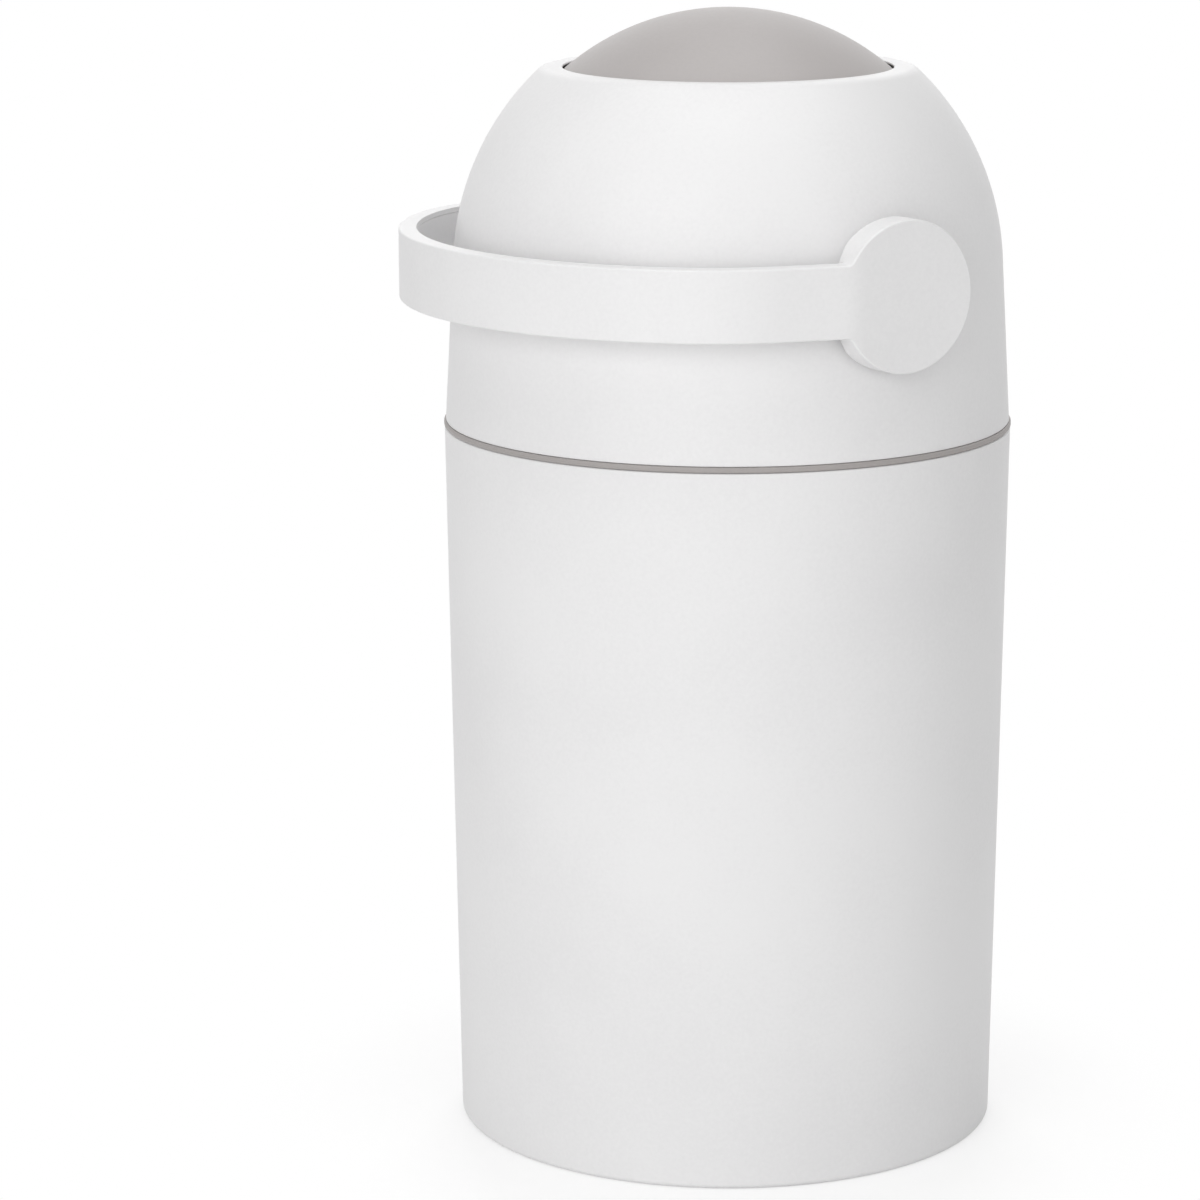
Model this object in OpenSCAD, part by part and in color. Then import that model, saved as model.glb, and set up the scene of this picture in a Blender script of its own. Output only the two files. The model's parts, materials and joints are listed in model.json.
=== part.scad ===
// Round nappy bin with a turning ball chamber in its domed head.
// Frame: origin on the bin's axis at the floor, +Z up, handle pivot along X, grip at -Y at rest.
// The ball shows its closed dome in the opening. Turning the handle half a turn over the top
// brings the cup's mouth up; turning it back drops the nappy through the head tray into the bag.
// The foot, the ring, the head, the ball and the handle take their radii from the bin's rim.

/* [Base bin] */
// Height of the bin's rim above the floor
base_h = 353.6; // [320:0.1:390]
// Outer radius of the bin's rim
base_rim_r = 140; // [128:0.5:152]
// How much narrower the foot is than the rim
base_taper = 5.7; // [2:0.1:12]
// Wall thickness of the bin
base_wall = 2.6; // [2:0.1:3.2]
// Thickness of the bin's floor
base_floor_t = 3; // [2:0.5:5]
// Height of the foot ring under the floor
foot_h = 3; // [2:0.5:5]
// Width of the foot ring
foot_w = 13; // [8:1:18]
// Radius of the outer edge at the floor
foot_edge_r = 3; // [1:0.5:4]
// Radius of the outer edge at the rim
rim_edge_r = 1; // [0.4:0.1:1.2]
// Radius of the bend inside, between floor and wall
base_bend_r = 12; // [6:1:20]
// Radius of the pad in the middle of the underside
centre_pad_r = 24; // [15:1:40]
// Number of ribs under the floor
floor_ribs = 12; // [6:1:18]
// Thickness of a rib under the floor
floor_rib_t = 2; // [1.5:0.1:3]
// How far the ribs stay above the foot ring's face
floor_rib_up = 1; // [0.5:0.1:1.5]

/* [Bag ring] */
// How far the grey band stands out past the bin's rim
ring_out = 0.6; // [0:0.1:1.5]
// Thickness of the ring's flange
ring_t = 3.1; // [2.6:0.1:4]
// Radius of the band's edges
ring_edge_r = 1.2; // [0.6:0.1:1.2]
// Gap between the rim and the flange
ring_gap = 0.2; // [0.1:0.1:0.4]
// Width of the flange, from the band inwards
ring_flange_w = 9; // [8.5:0.1:10]
// How far the ring's skirt reaches down into the bin
ring_skirt_h = 22; // [15:1:40]
// Thickness of the skirt
ring_skirt_t = 2; // [1.5:0.1:2.5]
// Gap between the skirt and the bin's wall, which the bag's folded edge fills
bag_gap = 1.1; // [0.8:0.1:1.6]
// Height of the bead at the foot of the skirt
ring_bead_h = 3; // [2:0.5:5]
// How far the bead stands out
ring_bead_t = 0.5; // [0.3:0.1:0.6]

/* [Ring seal] */
// Width of the sealing cord
cord_w = 2.8; // [2.4:0.1:3.2]
// Depth of the groove that holds it
cord_depth = 1.5; // [1:0.1:1.8]
// Gap between the sealing cord and its groove's sides
cord_fit = 0.1; // [0.05:0.05:0.2]
// Gap between the sealing cord and the head's wall
cord_in = 0.5; // [0.3:0.1:0.8]
// How far the cord's body stands out of its groove
cord_up = 0.6; // [0.3:0.1:0.8]
// Height of the taper between the cord's body and its lip
cord_taper = 0.6; // [0.4:0.1:0.8]
// Width of its lip
cord_lip_w = 1.2; // [0.8:0.1:1.8]
// Gap between the lip and the tray
cord_gap = 0.1; // [0.05:0.05:0.3]

/* [Head] */
// Gap between the ring and the head's lower edge
head_gap = 0.5; // [0.3:0.1:0.8]
// How far the head's lower edge lies inside the band
head_in = 1.22; // [0.6:0.02:1.6]
// How much narrower the round top is than the lower edge
head_taper = 4.08; // [3:0.02:6]
// Wall thickness of the head
head_wall = 2.8; // [2.4:0.1:3.2]
// Height of the handle's pivot above the head's lower edge
pivot_up = 77.6; // [72:0.1:84]
// How far the round top's centre lies below the pivot
head_drop = 5; // [4:0.1:6]
// Radius of the opening in the top
opening_r = 81; // [80.6:0.1:81.6]
// Width of the flat lip round the opening
lip_w = 10.1; // [9:0.1:11]
// Thickness of the lip
lip_t = 2.8; // [2.4:0.1:3.2]
// Radius that blends the lip into the round top
lip_blend_r = 8; // [4:0.5:10]
// Radius of the lip's inner edge
lip_edge_r = 0.5; // [0.3:0.1:0.6]
// Gap between the ball and the head's underside
lip_gap = 1.16; // [0.9:0.02:1.5]
// Radius of the head's lower edge
head_edge_r = 0.9; // [0.5:0.1:1.2]

/* [Pivot] */
// Radius of the axle's round part
journal_r = 10; // [9.95:0.05:11]
// Running clearance of the axle in its bush
journal_fit = 0.05; // [0.02:0.01:0.1]
// Wall of the bush
bush_wall = 3; // [2:0.1:3.5]
// Seat clearance of the bush in the head
bush_fit = 0.04; // [0.02:0.01:0.1]
// Thickness of the bush's collar
bush_collar_t = 1; // [0.8:0.1:1.4]
// Radius of the bush's collar
bush_collar_r = 17; // [16:0.5:20]
// Radius of the boss outside the head
outer_boss_r = 27; // [22:0.5:30]
// How far that boss stands out past the round top
outer_boss_out = 2.7; // [2.2:0.1:3.2]
// Radius of the boss inside the head
inner_boss_r = 17; // [16:0.5:18]
// Width across the flats of the axle's square end
square_w = 14; // [13:0.1:14]
// Clearance of the square end in its socket
square_fit = 0.1; // [0.05:0.05:0.2]
// Radius of the axle's flange
axle_flange_r = 24; // [23:0.5:26]
// Thickness of the axle's flange
axle_flange_t = 3; // [2.5:0.1:3.4]
// Sideways play between the ball's hub and the head
side_play = 0.5; // [0.3:0.1:0.6]
// Gap between the round ends and the bush's collar
end_play = 0.4; // [0.3:0.1:0.6]

/* [Ball] */
// Space between the ball and the skin of the round top
ball_space = 9.36; // [9:0.02:10.5]
// Wall thickness of the ball
ball_wall = 2.5; // [2:0.1:3]
// How much narrower the cup's mouth is than the opening, on each side
mouth_in = 2; // [1.4:0.1:3]
// Height of the joint between the ball's two shells above the pivot
split_up = 27; // [26:0.5:34]
// Gap at that joint
split_gap = 0.2; // [0.1:0.1:0.4]
// Overlap of the two shells at that joint
lap_h = 7; // [5:0.5:7.5]
// Thickness of the overlapping collar
lap_t = 2; // [1.5:0.1:2.5]
// Radius of the hubs that carry the axles
hub_r = 18; // [16.5:0.1:18.5]
// Length of a hub inside the ball
hub_in = 19; // [14:0.5:24]
// How far a hub stands out of the ball
hub_out = 3.9; // [3.5:0.1:4]
// Thickness of the hub's end wall
hub_end_t = 2.8; // [2:0.1:4]

/* [Cup] */
// Width of the cup's rim, from the ball's skin inwards
cup_rim_w = 6; // [5:0.5:9]
// Depth of the cup
cup_depth = 152.8; // [120:0.2:155]
// Draft of the cup's wall, as the loss of radius over its depth
cup_draft = 2; // [0.5:0.1:4]
// Wall thickness of the cup
cup_wall = 2.2; // [1.8:0.1:2.6]
// Thickness of the cup's rim
cup_rim_t = 2.2; // [1.8:0.1:3]
// Radius of the bend at the cup's closed end
cup_bend_r = 12; // [6:1:20]
// Clearance of the cup in the ball
cup_fit = 0.3; // [0.2:0.1:0.5]
// Thickness of the landing that carries the cup's rim
landing_t = 2; // [1.5:0.1:3]
// Height of the bead that snaps behind the landing
snap_t = 0.7; // [0.4:0.1:1]

/* [Stops] */
// Width of the lug on each hub
lug_w = 10; // [6:0.5:12]
// Reach of the lug from the pivot
lug_reach = 27; // [24:0.5:28]
// Height of the stop blocks in the head
stop_h = 8; // [5:0.5:10]
// Gap between lug and stop
stop_gap = 0.3; // [0.2:0.1:0.5]
// Gap between a hub and the stop blocks beside it
hub_gap = 1.5; // [1:0.1:2]

/* [Head tray] */
// Thickness of the tray
tray_t = 2.4; // [2:0.1:3]
// Height of the tray's flange above the head's lower edge
tray_up = 2.6; // [2.4:0.1:3]
// Gap between the ball and the tray's dish
dish_gap = 3.26; // [3:0.02:3.6]
// How much wider the way through the tray is than the cup's mouth, on each side
tray_hole_out = 9; // [8:0.1:10]
// How far the tray's collar reaches down
collar_h = 17; // [10:0.5:18]
// Gap between the tray's collar and the bag ring
collar_gap = 0.6; // [0.4:0.1:1]
// Gap between the tray and the head's wall
tray_gap = 0.3; // [0.2:0.1:0.5]
// Distance of the tray's screws from the head's wall
post_in = 13.2; // [12.2:0.1:15.2]
// Number of the tray's screws
posts = 6; // [4:1:8]
// Radius of a screw post
post_r = 4.5; // [4:0.1:5]
// Height of a screw post
post_h = 21; // [15:0.5:22]
// Thickness of the web that ties a post to the wall
web_t = 2.4; // [1.8:0.1:3]

/* [Ball seals] */
// Gap between the seals and the ball
seal_gap = 0.3; // [0.2:0.1:0.5]
// Gap between the seals and what they are glued to
seal_seat = 0.1; // [0.05:0.05:0.2]
// Distance of the upper seal from the opening's edge
upper_seal_out = 11.5; // [11:0.1:12.5]
// Width of the upper seal
upper_seal_w = 4; // [3:0.1:5]
// Width of the lower seal's rim inside the tray's hole
lower_seal_w = 3.3; // [2.5:0.1:4]
// Height of that rim
lower_seal_h = 6; // [5:0.5:7]
// Width of the lower seal on the tray's dish
lower_pad_w = 6; // [4:0.5:8]

/* [Handle] */
// Thickness of the round ends
disc_t = 13.9; // [13:0.1:16]
// Radius of the round ends
disc_r = 36.2; // [35:0.1:38]
// How far the band's round part lies ahead of the pivot, as a straight run of each arm
arm_run = 8.4; // [4:0.1:16]
// Height of the band
band_h = 34.4; // [28:0.1:40]
// Thickness of the band
band_t = 8.75; // [8.5:0.05:9.2]
// Wall thickness of the handle's moulding
bow_wall = 2.4; // [2:0.1:2.6]
// Radius of the handle's edges
band_edge_r = 1; // [0.6:0.1:1.1]
// Radius of the hollow corner between the band and a round end
neck_r = 3; // [1:0.5:6]
// Thickness of the cover inside the band
liner_t = 1.8; // [1.5:0.1:2.2]
// Gap round that cover and the end covers
liner_gap = 0.15; // [0.1:0.05:0.25]
// Height of the beads along that cover's edges
liner_bead_h = 0.5; // [0.3:0.1:0.8]
// Thickness of those beads
liner_bead_t = 0.8; // [0.6:0.1:1]
// Thickness of the covers behind the round ends
end_cover_t = 2; // [1.6:0.1:2.2]
// Gap between those covers and what passes through them
cover_fit = 0.5; // [0.3:0.1:0.8]
// Gap on either face of the axle's flange
flange_gap = 0.2; // [0.1:0.1:0.3]

/* [Screws] */
// Radius of the tray and axle screws' shanks
screw_r = 1.9; // [1.8:0.05:2]
// Radius of their heads
screw_head_r = 3.6; // [3.2:0.1:4]
// Height of their heads
screw_head_h = 2.2; // [1.8:0.1:2.6]
// Length of their shanks
screw_l = 16; // [10:0.5:18]
// Radius of the small screws' shanks in the handle
small_screw_r = 1.45; // [1.3:0.05:1.6]
// Radius of their heads
small_head_r = 3; // [2.6:0.1:3.2]
// Height of their heads
small_head_h = 1.6; // [1.4:0.1:1.8]
// Length of their shanks
small_screw_l = 7; // [6:0.1:7.5]
// Distance of the small screws from the pivot
small_screw_at = 18; // [17:0.1:19]
// Wall of the bosses that the small screws bite in
small_boss_wall = 2.6; // [2:0.1:3]
// Radius of the washer under each axle screw
washer_r = 8; // [6:0.5:10]
// Thickness of that washer
washer_t = 1; // [0.8:0.1:1.5]
// Clearance of a screw in its post or boss
screw_fit = 0.1; // [0.05:0.05:0.2]
// Clearance of a screw in the piece that it holds
through_fit = 0.3; // [0.2:0.1:0.5]
// Gap between faces that a screw pulls together
seat_gap = 0.05; // [0.05:0.05:0.1]

/* [Hidden] */
$fn = 96;

// Turn between the points of a small round edge
edge_step = 6;
// How far shapes that are joined reach into each other
into = 1;
// How far a cut reaches past the face that it opens
past = 1;

white = "#ecebea";
grey = "#b5b0ad";
dark = "#5c5a59";
nylon = "#d8d6d0";
steel = "#9a9a9c";

ring_z = base_h + ring_gap;
ring_top = ring_z + ring_t;
head_z = ring_top + head_gap;
pivot_z = head_z + pivot_up;
dome_z = pivot_z - head_drop;

base_foot_r = base_rim_r - base_taper;
ring_r = base_rim_r + ring_out;
head_foot_r = ring_r - head_in;
head_r = head_foot_r - head_taper;
head_in_r = head_r - head_wall;
ball_r = head_in_r - ball_space;
ball_in_r = ball_r - ball_wall;
lip_z = dome_z + sqrt(pow(head_r, 2) - pow(opening_r + lip_w, 2));

// The head is a cone that meets a sphere without a corner: both share the slope head_slope.
head_dist = norm([head_foot_r, head_z - dome_z]);
head_slope = acos(head_r / head_dist) - atan2(dome_z - head_z, head_foot_r);

ring_in_r = ring_r - ring_flange_w;
skirt_r = base_wall_r(ring_z - ring_skirt_h) - base_wall - bag_gap;
cord_r = head_wall_r(head_in_r, head_z) - cord_in - cord_w;

tray_z = head_z + tray_up;
tray_top = tray_z + tray_t;
dish_r = ball_r + dish_gap;
under_r = dish_r + tray_t;
collar_r = ring_in_r - collar_gap;
post_at = head_wall_r(head_in_r, tray_top + post_h) - post_in;

mouth_r = opening_r - mouth_in;
mouth_z = pivot_z - sqrt(pow(ball_r, 2) - pow(mouth_r, 2));
tray_hole_r = mouth_r + tray_hole_out;
cup_r = mouth_r - cup_rim_w;
landing_z = mouth_z + cup_rim_t + split_gap;
split_z = pivot_z + split_up;
lap_r = sqrt(pow(ball_in_r, 2) - pow(split_up, 2)) - cup_fit;

hub_x0 = ball_r - hub_in;
hub_x1 = ball_r + hub_out;
inner_boss_x = hub_x1 + side_play;
outer_boss_x = head_r + outer_boss_out;
bush_r = journal_r + journal_fit + bush_wall;
bush_face_x = outer_boss_x + bush_collar_t;
disc_back_x = bush_face_x + end_play;
arm_x = disc_back_x + disc_t;
flange_x = disc_back_x + end_cover_t + flange_gap;
disc_space_r = disc_r - bow_wall;
channel_h = band_h - 2 * bow_wall;

screw_hole_r = screw_r + screw_fit;
through_hole_r = screw_r + through_fit;
small_hole_r = small_screw_r + screw_fit;

function base_wall_r(z) = base_foot_r + base_taper * z / base_h;
function head_wall_r(r, z) = (r - (z - dome_z) * sin(head_slope)) / cos(head_slope);
function arc(c, r, a0, a1) =
    let (n = max(2, ceil(abs(a1 - a0) / edge_step)))
    [for (i = [0 : n]) c + r * [cos(a0 + (a1 - a0) * i / n), sin(a0 + (a1 - a0) * i / n)]];

// Places its children with +Z pointing out along the pivot, at x from the bin's axis.
module on_pivot(x, side = 1)
    translate([side * x, 0, pivot_z]) rotate([0, side * 90, 0]) children();

module on_posts()
    for (i = [0 : posts - 1]) rotate([0, 0, 360 / posts * (i + 0.5)]) translate([post_at, 0, 0]) children();

module on_flange_holes()
    for (i = [0 : 2]) rotate([0, 0, 120 * i + 90]) translate([small_screw_at, 0, 0]) children();

// A disc round the pivot's middle, in the plane of a turned outline.
module pivot_circle(r) translate([0, pivot_z]) circle(r = r);

// A pan-head screw: its head sits below z = 0 and its shank points along +Z.
module screw(r, l, head_r, head_h) {
    edge = head_h * 0.4;
    cylinder(r = r, h = l);
    rotate_extrude() polygon(concat(
        [[0, 0], [0, -head_h]],
        arc([head_r - edge, edge - head_h], edge, -90, 0),
        [[head_r, 0]]));
}

// ---- Bin and bag ring ----

module base_outer() {
    e = foot_edge_r;
    polygon(concat(
        [[0, 0]],
        arc([base_foot_r - e, e], e, -90, 0),
        arc([base_rim_r - rim_edge_r, base_h - rim_edge_r], rim_edge_r, 0, 90),
        [[0, base_h]]));
}

module base_inner() {
    z0 = foot_h + base_floor_t;
    b = base_bend_r;
    top = base_h + past;
    polygon(concat(
        [[0, z0]],
        arc([base_wall_r(z0 + b) - base_wall - b, z0 + b], b, -90, 0),
        [[base_wall_r(top) - base_wall, top], [0, top]]));
}

module base_bin() {
    recess_r = base_foot_r - foot_w;
    color(white) {
        rotate_extrude() difference() {
            base_outer();
            base_inner();
            translate([centre_pad_r, -past]) square([recess_r - centre_pad_r, foot_h + past]);
        }
        for (i = [0 : floor_ribs - 1]) rotate([0, 0, 360 / floor_ribs * i])
            translate([centre_pad_r - into, -floor_rib_t / 2, floor_rib_up])
                cube([recess_r - centre_pad_r + 2 * into, floor_rib_t, foot_h - floor_rib_up + into]);
    }
}

module bag_ring() {
    skirt_z = ring_z - ring_skirt_h;
    e = ring_edge_r;
    color(grey) rotate_extrude() difference() {
        union() {
            polygon(concat(
                [[ring_in_r, ring_z]],
                arc([ring_r - e, ring_z + e], e, -90, 0),
                arc([ring_r - e, ring_top - e], e, 0, 90),
                [[ring_in_r, ring_top]]));
            translate([skirt_r - ring_skirt_t, skirt_z]) square([ring_skirt_t, ring_skirt_h + into]);
            translate([skirt_r - into, skirt_z]) square([into + ring_bead_t, ring_bead_h]);
        }
        translate([cord_r - cord_fit, ring_top - cord_depth])
            square([cord_w + 2 * cord_fit, cord_depth + past]);
    }
}

module ring_seal() {
    foot = ring_top - cord_depth;
    shoulder = ring_top + cord_up;
    neck = shoulder + cord_taper;
    lip_e = cord_lip_w / 2;
    mid = cord_r + cord_w / 2;
    color(dark) rotate_extrude() polygon(concat(
        [[cord_r, foot], [cord_r + cord_w, foot], [cord_r + cord_w, shoulder], [mid + lip_e, neck]],
        arc([mid, tray_z - cord_gap - lip_e], lip_e, 0, 180),
        [[mid - lip_e, neck], [cord_r, shoulder]]));
}

// ---- Head ----

// The space under a head skin of radius r, from z0 up.
module head_section(r, z0) {
    meet = dome_z + r * sin(head_slope);
    intersection() {
        translate([0, dome_z]) circle(r = r);
        translate([0, meet]) square([r + past, r + past]);
    }
    polygon([[0, z0], [head_wall_r(r, z0), z0], [r * cos(head_slope), meet], [0, meet]]);
}

// Cuts the round top flat at the lip and rounds the corner that this leaves.
module lip_cut() {
    c = [sqrt(pow(head_r - lip_blend_r, 2) - pow(lip_z - lip_blend_r - dome_z, 2)), lip_z - lip_blend_r];
    lean = atan2(c[1] - dome_z, c[0]);
    polygon(concat(
        [[-past, lip_z]],
        arc(c, lip_blend_r, 90, lean),
        [c + 3 * lip_blend_r * [cos(lean), sin(lean)], [head_r, lip_z + head_r], [-past, lip_z + head_r]]));
}

module head_skin() {
    e = head_edge_r;
    foot = head_wall_r(head_r, head_z);
    difference() {
        head_section(head_r, head_z);
        lip_cut();
        // opening, with its rounded upper edge
        polygon(concat(
            [[-past, head_z], [opening_r, head_z]],
            arc([opening_r + lip_edge_r, lip_z - lip_edge_r], lip_edge_r, 180, 90),
            [[opening_r + lip_edge_r, lip_z + past], [-past, lip_z + past]]));
        // rounded lower edge
        polygon(concat(
            [[foot + past, head_z - past], [foot - e, head_z - past]],
            arc([foot - e, head_z + e], e, -90, 0),
            [[foot + past, head_z + e]]));
    }
}

module head_space() {
    intersection() {
        head_section(head_in_r, head_z - past);
        square([head_foot_r, lip_z - lip_t]);
    }
}

// The two blocks beside a hub that stop its lug, one at each end of the handle's half turn.
module stop_blocks(side) {
    top = -lug_w / 2 - stop_gap;
    near = hub_r + hub_gap;
    depth = head_r - ball_r;
    for (y = [-lug_reach, near])
        translate([side > 0 ? ball_r : -head_r, y, pivot_z + top - stop_h])
            cube([depth, lug_reach - near, stop_h]);
}

// Screw posts for the tray, each tied to the wall by a web.
module tray_posts() {
    on_posts() translate([0, 0, tray_top + 2 * seat_gap]) {
        cylinder(r = post_r, h = post_h);
        translate([0, -web_t / 2, 0]) cube([post_in + head_wall, web_t, post_h]);
    }
}

module head_shell() {
    color(white) difference() {
        union() {
            difference() {
                union() {
                    rotate_extrude() head_skin();
                    for (side = [-1, 1]) on_pivot(ball_r, side)
                        cylinder(r = outer_boss_r, h = outer_boss_x - ball_r);
                }
                rotate_extrude() head_space();
            }
            for (side = [-1, 1]) on_pivot(inner_boss_x, side)
                cylinder(r = inner_boss_r, h = outer_boss_x - inner_boss_x);
            intersection() {
                union() {
                    stop_blocks(-1);
                    stop_blocks(1);
                    tray_posts();
                }
                rotate_extrude() head_section(head_in_r + into, head_z);
            }
        }
        for (side = [-1, 1]) on_pivot(ball_r, side)
            cylinder(r = bush_r + bush_fit, h = outer_boss_x - ball_r + past);
        on_posts() translate([0, 0, tray_z]) cylinder(r = screw_hole_r, h = tray_t + screw_l);
        // room for the ball under the lip and under the stop blocks
        translate([0, 0, pivot_z]) sphere(r = ball_r + lip_gap);
    }
}

module head_tray() {
    flange_out = head_wall_r(head_in_r, tray_top) - tray_gap;
    color(white) difference() {
        rotate_extrude() {
            difference() {
                union() {
                    intersection() {
                        pivot_circle(under_r);
                        translate([tray_hole_r, pivot_z - under_r])
                            square([under_r, tray_top - pivot_z + under_r]);
                    }
                    translate([tray_hole_r, tray_z]) square([flange_out - tray_hole_r, tray_t]);
                }
                pivot_circle(dish_r);
            }
            translate([collar_r - tray_t, tray_z - collar_h]) square([tray_t, collar_h + into]);
        }
        on_posts() translate([0, 0, tray_z - past]) cylinder(r = through_hole_r, h = tray_t + 2 * past);
    }
}

module tray_screws()
    color(steel) on_posts() translate([0, 0, tray_z - seat_gap])
        screw(screw_r, screw_l, screw_head_r, screw_head_h);

module upper_seal() {
    color(dark) rotate_extrude() difference() {
        intersection() {
            head_section(head_in_r - seal_seat, head_z);
            translate([opening_r + upper_seal_out, pivot_z]) square([upper_seal_w, ball_r]);
        }
        pivot_circle(ball_r + seal_gap);
    }
}

module lower_seal() {
    rim_in = tray_hole_r - lower_seal_w;
    pad_out = tray_hole_r + lower_pad_w;
    rim_z = pivot_z - sqrt(pow(under_r, 2) - pow(tray_hole_r, 2));
    color(dark) rotate_extrude() difference() {
        union() {
            intersection() {
                pivot_circle(dish_r - seal_seat);
                translate([rim_in, rim_z]) square([pad_out - rim_in, pivot_z - rim_z - post_h]);
            }
            translate([rim_in, rim_z]) square([lower_seal_w - seal_seat, lower_seal_h]);
        }
        pivot_circle(ball_r + seal_gap);
    }
}

module bush(side) {
    color(nylon) on_pivot(0, side) difference() {
        union() {
            translate([0, 0, inner_boss_x]) cylinder(r = bush_r, h = bush_face_x - inner_boss_x);
            translate([0, 0, outer_boss_x]) cylinder(r = bush_collar_r, h = bush_collar_t);
        }
        cylinder(r = journal_r + journal_fit, h = arm_x);
    }
}
module bush_left() bush(-1);
module bush_right() bush(1);

// ---- Ball ----

module ball_wall_section(z0, z1) {
    difference() {
        intersection() {
            pivot_circle(ball_r);
            translate([0, z0]) square([ball_r + past, z1 - z0]);
        }
        pivot_circle(ball_in_r);
    }
}

module ball_body() {
    landing_in = cup_r + cup_wall + cup_fit;
    lug_sink = ball_wall / 2;
    color(grey) difference() {
        union() {
            rotate_extrude() {
                ball_wall_section(landing_z, split_z);
                intersection() {
                    pivot_circle(ball_in_r + into);
                    translate([landing_in, landing_z]) square([ball_r, landing_t]);
                }
            }
            for (side = [-1, 1]) {
                on_pivot(hub_x0, side) cylinder(r = hub_r, h = hub_x1 - hub_x0);
                // stop lug, pointing to the grip
                on_pivot(ball_r - lug_sink, side) translate([-lug_w / 2, -lug_reach, 0])
                    cube([lug_w, lug_reach - hub_r + 2 * into, hub_out + lug_sink]);
            }
        }
        for (side = [-1, 1]) {
            on_pivot(hub_x0 + hub_end_t, side) translate([0, 0, ball_r / 2])
                cube([square_w + 2 * square_fit, square_w + 2 * square_fit, ball_r], center = true);
            on_pivot(hub_x0 - past, side) cylinder(r = through_hole_r, h = hub_end_t + 2 * past);
        }
    }
}

module ball_dome() {
    z0 = split_z + split_gap;
    color(grey) rotate_extrude() {
        ball_wall_section(z0, pivot_z + ball_r + past);
        translate([lap_r - lap_t, split_z - lap_h]) square([lap_t, lap_h + split_gap + into]);
        intersection() {
            pivot_circle(ball_r - ball_wall / 2);
            translate([lap_r - lap_t, z0]) square([lap_t + ball_wall, lap_t]);
        }
    }
}

module cup() {
    end_r = cup_r - cup_draft;
    end_z = mouth_z + cup_depth;
    b = cup_bend_r;
    t = cup_wall;
    sunk = t / 4;
    snap_z = landing_z + landing_t + cup_fit;
    snap_h = 4 * snap_t;
    color(grey) rotate_extrude() {
        difference() {
            polygon(concat(
                [[0, mouth_z], [cup_r + t, mouth_z]],
                arc([end_r - b, end_z - b], b + t, 0, 90),
                [[0, end_z + t]]));
            polygon(concat(
                [[-past, mouth_z - past], [cup_r, mouth_z - past], [cup_r, mouth_z]],
                arc([end_r - b, end_z - b], b, 0, 90),
                [[-past, end_z]]));
        }
        intersection() {
            translate([cup_r, mouth_z]) square([ball_r, cup_rim_t]);
            pivot_circle(ball_r);
        }
        // bead that snaps behind the landing
        translate([cup_r + t - sunk, snap_z])
            polygon([[0, 0], [sunk + cup_fit + snap_t, 0], [sunk, snap_h], [0, snap_h]]);
    }
}

// ---- Axles ----

module axle(side) {
    // the square ends inside the hub, and a round neck of the same width leads to the journal
    shoulder_x = hub_x1 - hub_out / 2;
    square_x0 = hub_x0 + hub_end_t + flange_gap;
    square_l = shoulder_x + into - square_x0;
    color(nylon) on_pivot(0, side) difference() {
        union() {
            translate([0, 0, square_x0 + square_l / 2]) cube([square_w, square_w, square_l], center = true);
            translate([0, 0, shoulder_x]) cylinder(r = square_w / 2, h = hub_out);
            translate([0, 0, hub_x1 + flange_gap])
                cylinder(r = journal_r, h = flange_x - hub_x1 - flange_gap + into);
            translate([0, 0, flange_x]) cylinder(r = axle_flange_r, h = axle_flange_t);
        }
        cylinder(r = screw_hole_r, h = hub_x0 + hub_end_t + screw_l + past);
        translate([0, 0, flange_x - past]) on_flange_holes()
            cylinder(r = small_hole_r, h = axle_flange_t + 2 * past);
    }
}
module axle_left() axle(-1);
module axle_right() axle(1);

module axle_washers() {
    color(steel) for (side = [-1, 1]) on_pivot(hub_x0 - seat_gap - washer_t, side) difference() {
        cylinder(r = washer_r, h = washer_t);
        translate([0, 0, -past]) cylinder(r = through_hole_r, h = washer_t + 2 * past);
    }
}

module axle_screws() {
    color(steel) for (side = [-1, 1]) on_pivot(hub_x0 - washer_t - 2 * seat_gap, side)
        screw(screw_r, screw_l, screw_head_r, screw_head_h);
}

// ---- Handle ----

// Runs a profile along the band's plan: its x is measured outwards from the outer face.
module along_band() {
    translate([0, -arm_run]) rotate([0, 0, 180]) rotate_extrude(angle = 180)
        translate([arm_x, 0]) children();
    for (side = [0, 1]) mirror([side, 0, 0]) rotate([90, 0, 0]) linear_extrude(arm_run)
        translate([arm_x, 0]) children();
}

module rounded_band() {
    e = band_edge_r;
    translate([-band_t, pivot_z - band_h / 2]) {
        translate([e, 0]) square([band_t - 2 * e, band_h]);
        translate([0, e]) square([band_t, band_h - 2 * e]);
        for (x = [e, band_t - e]) for (z = [e, band_h - e]) translate([x, z]) circle(r = e);
    }
}

// The hollow of the band, with a groove in its upper and lower wall for the liner's beads.
module band_channel() {
    groove_t = liner_bead_t + 2 * liner_gap;
    translate([-band_t - past, pivot_z - channel_h / 2]) square([band_t + past - bow_wall, channel_h]);
    translate([-band_t + liner_t / 2 - groove_t / 2, pivot_z - channel_h / 2 - liner_bead_h])
        square([groove_t, channel_h + 2 * liner_bead_h]);
}

// Everything inside the band's outer face, which the round ends' faces follow.
module inside_plan() {
    out = disc_r + past;
    translate([0, -arm_run, pivot_z - out]) {
        cylinder(r = arm_x, h = 2 * out);
        translate([-arm_x, 0, 0]) cube([2 * arm_x, arm_run + out, 2 * out]);
    }
}

module end_disc() {
    e = band_edge_r;
    rotate_extrude() difference() {
        square([disc_r, disc_t]);
        translate([disc_r - e, disc_t - e]) difference() {
            square(2 * e);
            circle(r = e);
        }
    }
}

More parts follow.
